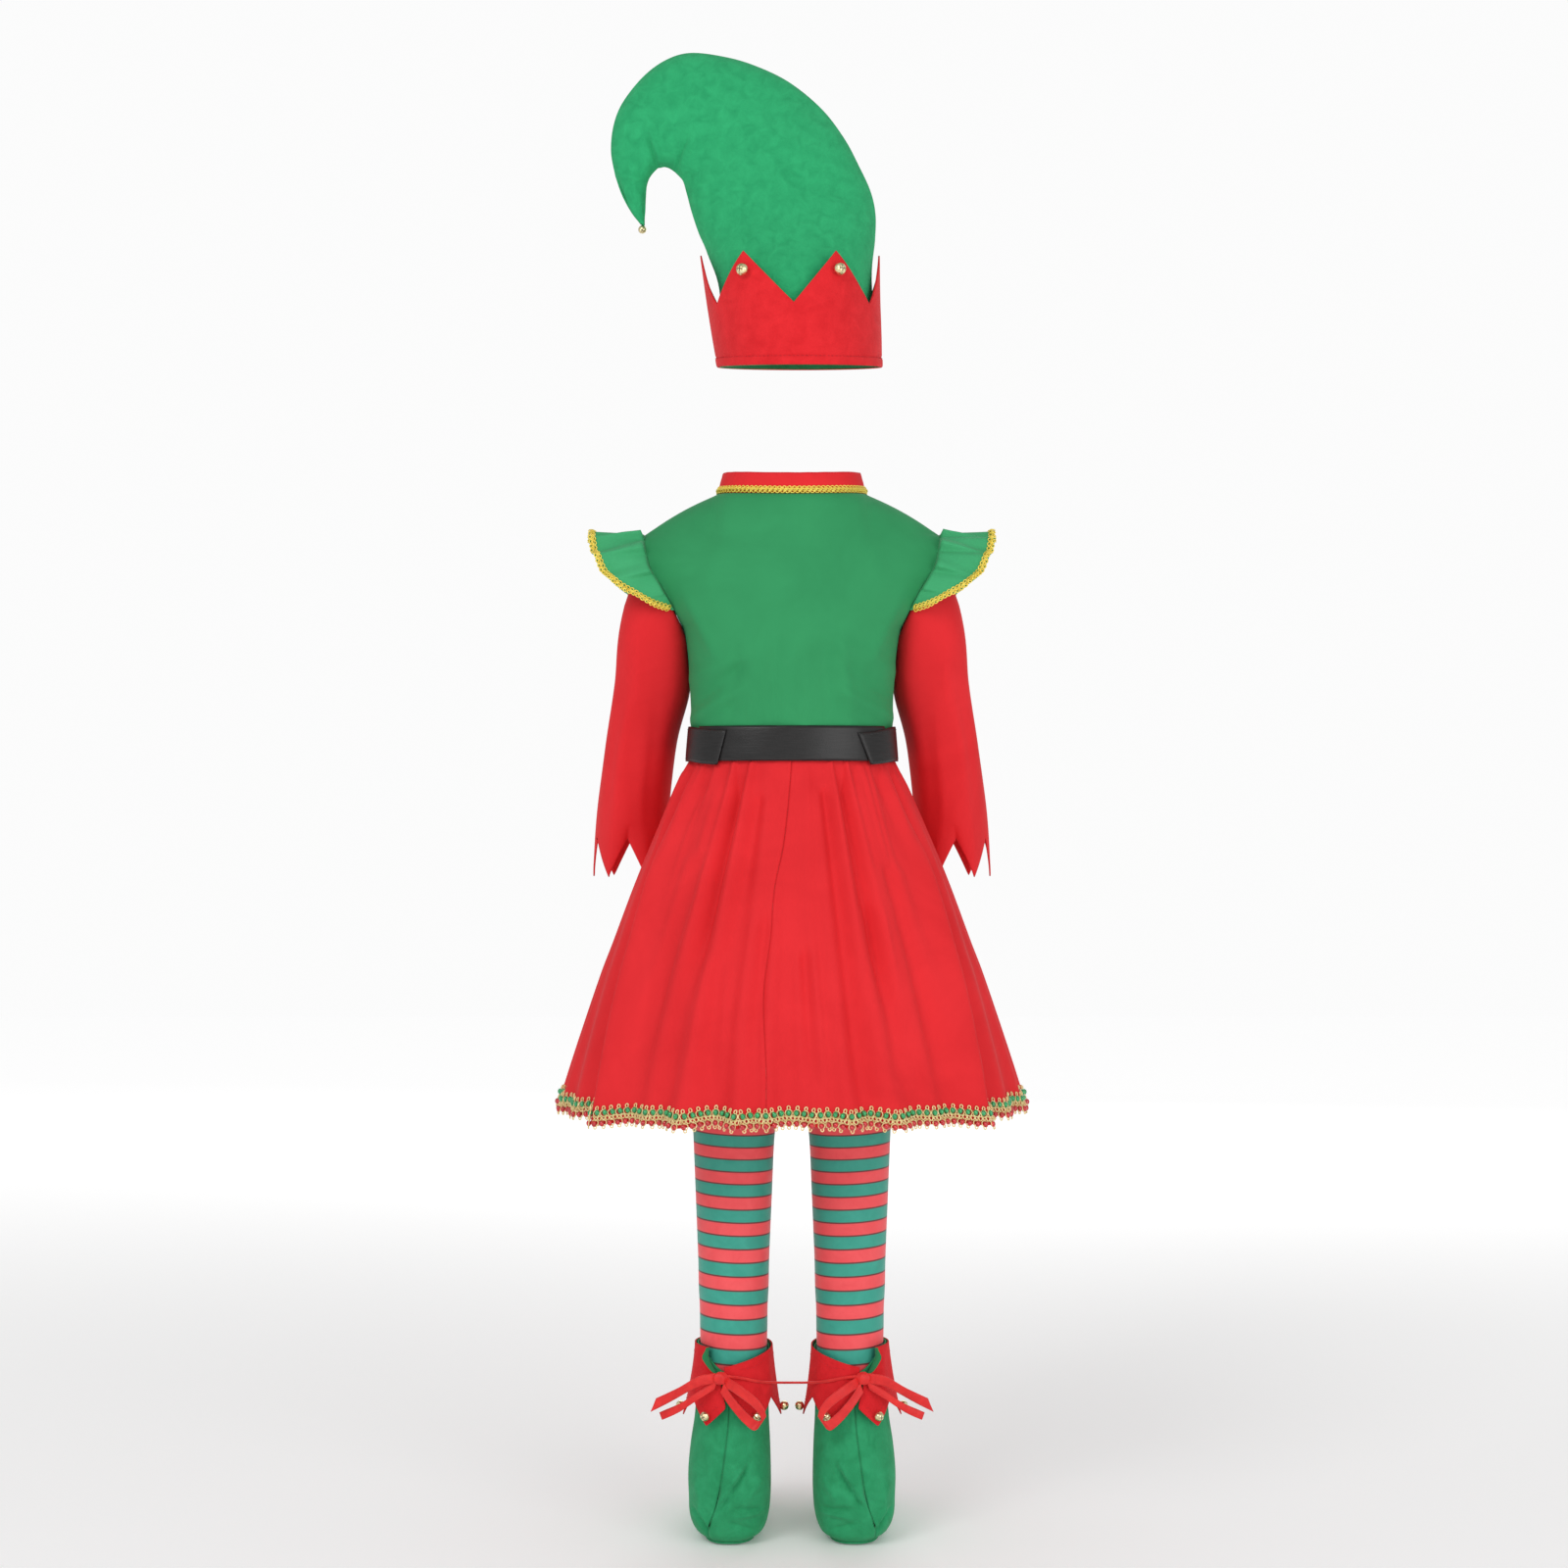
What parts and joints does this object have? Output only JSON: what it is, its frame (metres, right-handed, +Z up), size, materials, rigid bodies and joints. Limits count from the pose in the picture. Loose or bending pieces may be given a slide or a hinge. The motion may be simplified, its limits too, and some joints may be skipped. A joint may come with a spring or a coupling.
{
  "type": "elf costume",
  "caption": "Elf costume worn standing: curled felt hat with pointed cuff, flared dress with flutter caps and belt, striped tights, and felt shoe covers with ribbon ties.",
  "frame": {"origin": "centre of the neck opening at the height of the neck points, where the wearer's shoulders hold the dress", "axes": "+Z up, +Y to the front of the costume, +X to the wearer's right as seen from behind"},
  "size_m": [0.4832, 0.3908, 1.5098],
  "materials": {
    "green_felt": "soft felt",
    "green_cloth": "smooth knit cloth",
    "red_cloth": "smooth knit cloth",
    "red_ribbon": "satin ribbon",
    "black_belt": "soft coated cloth",
    "gold_braid": "metallic thread braid",
    "striped_knit": "fine striped knit",
    "gold_metal": "bright thin brass"
  },
  "bodies": {
    "root": {"hat_crown_front": "green_felt", "hat_crown_back": "green_felt", "hat_cuff": "red_cloth", "hat_bell_back_left": "gold_metal", "hat_bell_back_right": "gold_metal", "hat_bell_front_left": "gold_metal", "hat_bell_front_right": "gold_metal", "hat_bell_tip": "gold_metal", "collar": "red_cloth", "neck_braid": "gold_braid", "bodice_back": "green_cloth", "bodice_front": "green_cloth", "ruffle_right": "green_cloth", "ruffle_left": "green_cloth", "ruffle_braid_right": "gold_braid", "ruffle_braid_left": "gold_braid", "sleeve_right": "red_cloth", "sleeve_left": "red_cloth", "belt_back": "black_belt", "belt_front": "black_belt", "skirt_back_left": "red_cloth", "skirt_back_right": "red_cloth", "skirt_front": "red_cloth", "hem_trim": "gold_braid", "tights_top_right": "striped_knit", "tights_top_left": "striped_knit", "tights_leg_right": "striped_knit", "tights_leg_left": "striped_knit", "shoe_outer_right": "green_felt", "shoe_outer_left": "green_felt", "shoe_inner_right": "green_felt", "shoe_inner_left": "green_felt", "shoe_sole_right": "green_felt", "shoe_sole_left": "green_felt", "shoe_cuff_right": "red_cloth", "shoe_cuff_left": "red_cloth", "shoe_bell_1_right": "gold_metal", "shoe_bell_1_left": "gold_metal", "shoe_bell_2_right": "gold_metal", "shoe_bell_2_left": "gold_metal", "shoe_bell_3_right": "gold_metal", "shoe_bell_3_left": "gold_metal", "shoe_bell_4_right": "gold_metal", "shoe_bell_4_left": "gold_metal", "shoe_bell_5_right": "gold_metal", "shoe_bell_5_left": "gold_metal", "shoe_bell_6_right": "gold_metal", "shoe_bell_6_left": "gold_metal", "tie_knot_left": "red_ribbon", "tie_knot_right": "red_ribbon", "tie_tail_upper_left": "red_ribbon", "tie_tail_upper_right": "red_ribbon", "tie_tail_lower_left": "red_ribbon", "tie_tail_lower_right": "red_ribbon", "tie_loop_left": "red_ribbon", "tie_loop_right": "red_ribbon", "tie_link": "red_ribbon"}
  },
  "joints": []
}
